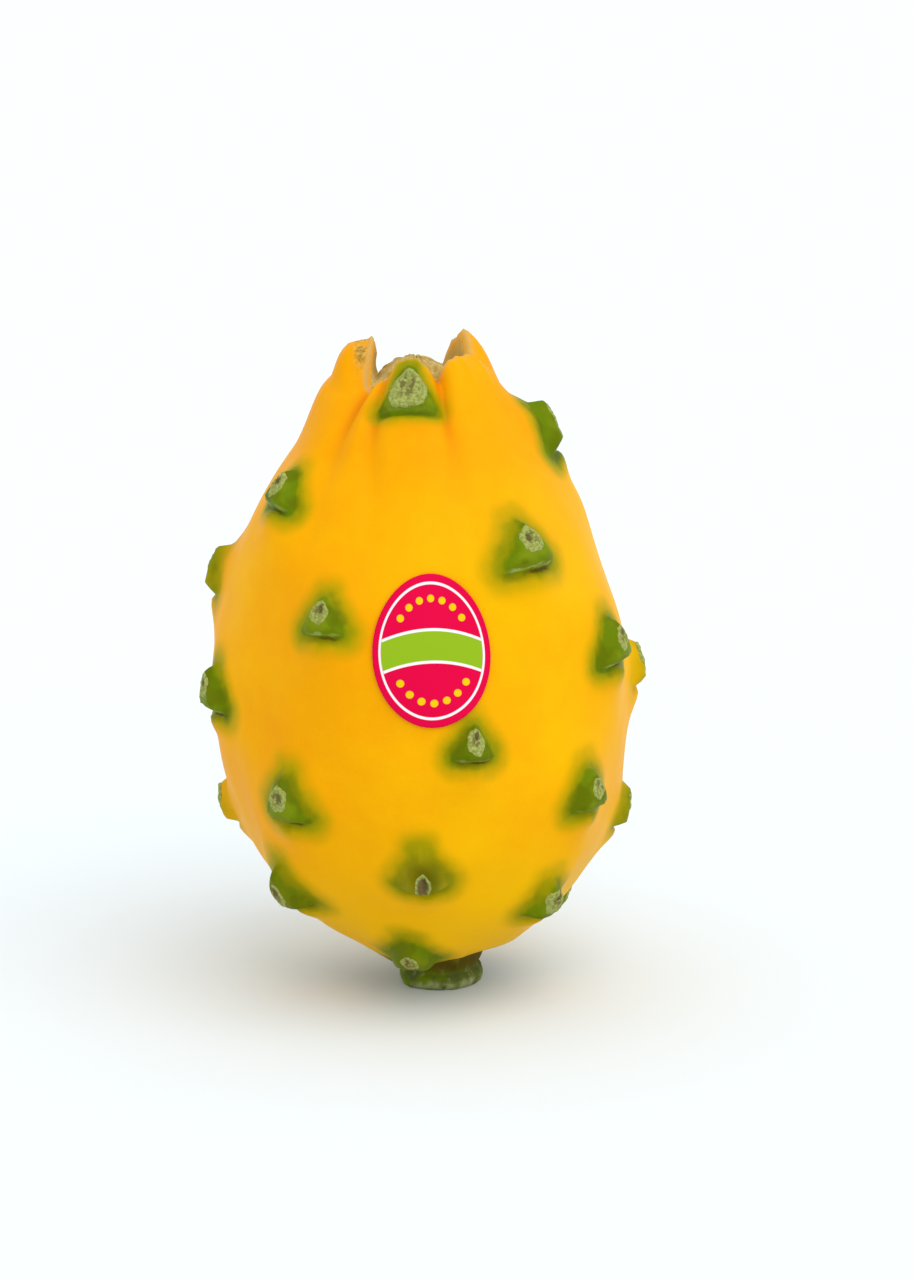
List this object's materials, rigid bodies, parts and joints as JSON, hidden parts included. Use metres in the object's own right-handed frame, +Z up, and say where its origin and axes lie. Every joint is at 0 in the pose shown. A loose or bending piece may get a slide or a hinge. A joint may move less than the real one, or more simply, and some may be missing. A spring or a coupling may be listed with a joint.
{
  "type": "yellow dragon fruit",
  "caption": "Whole yellow dragon fruit with a tubercled skin and an open crown, standing on its cut stem end, with a plain oval sticker.",
  "frame": {"origin": "centre of the flat spot on the cut stem end that the fruit stands on", "axes": "+Z up along the fruit to its crown, -Y towards the side with the sticker, +X to the right as seen from that side"},
  "size_m": [0.0798, 0.0795, 0.1191],
  "materials": {
    "skin": "waxy golden yellow fruit skin, satin, with green tubercles and a tan flower scar",
    "sticker_paper": "coated crimson sticker paper, semi-gloss"
  },
  "bodies": {
    "root": {"fruit": "skin", "sticker": "sticker_paper"}
  },
  "joints": []
}
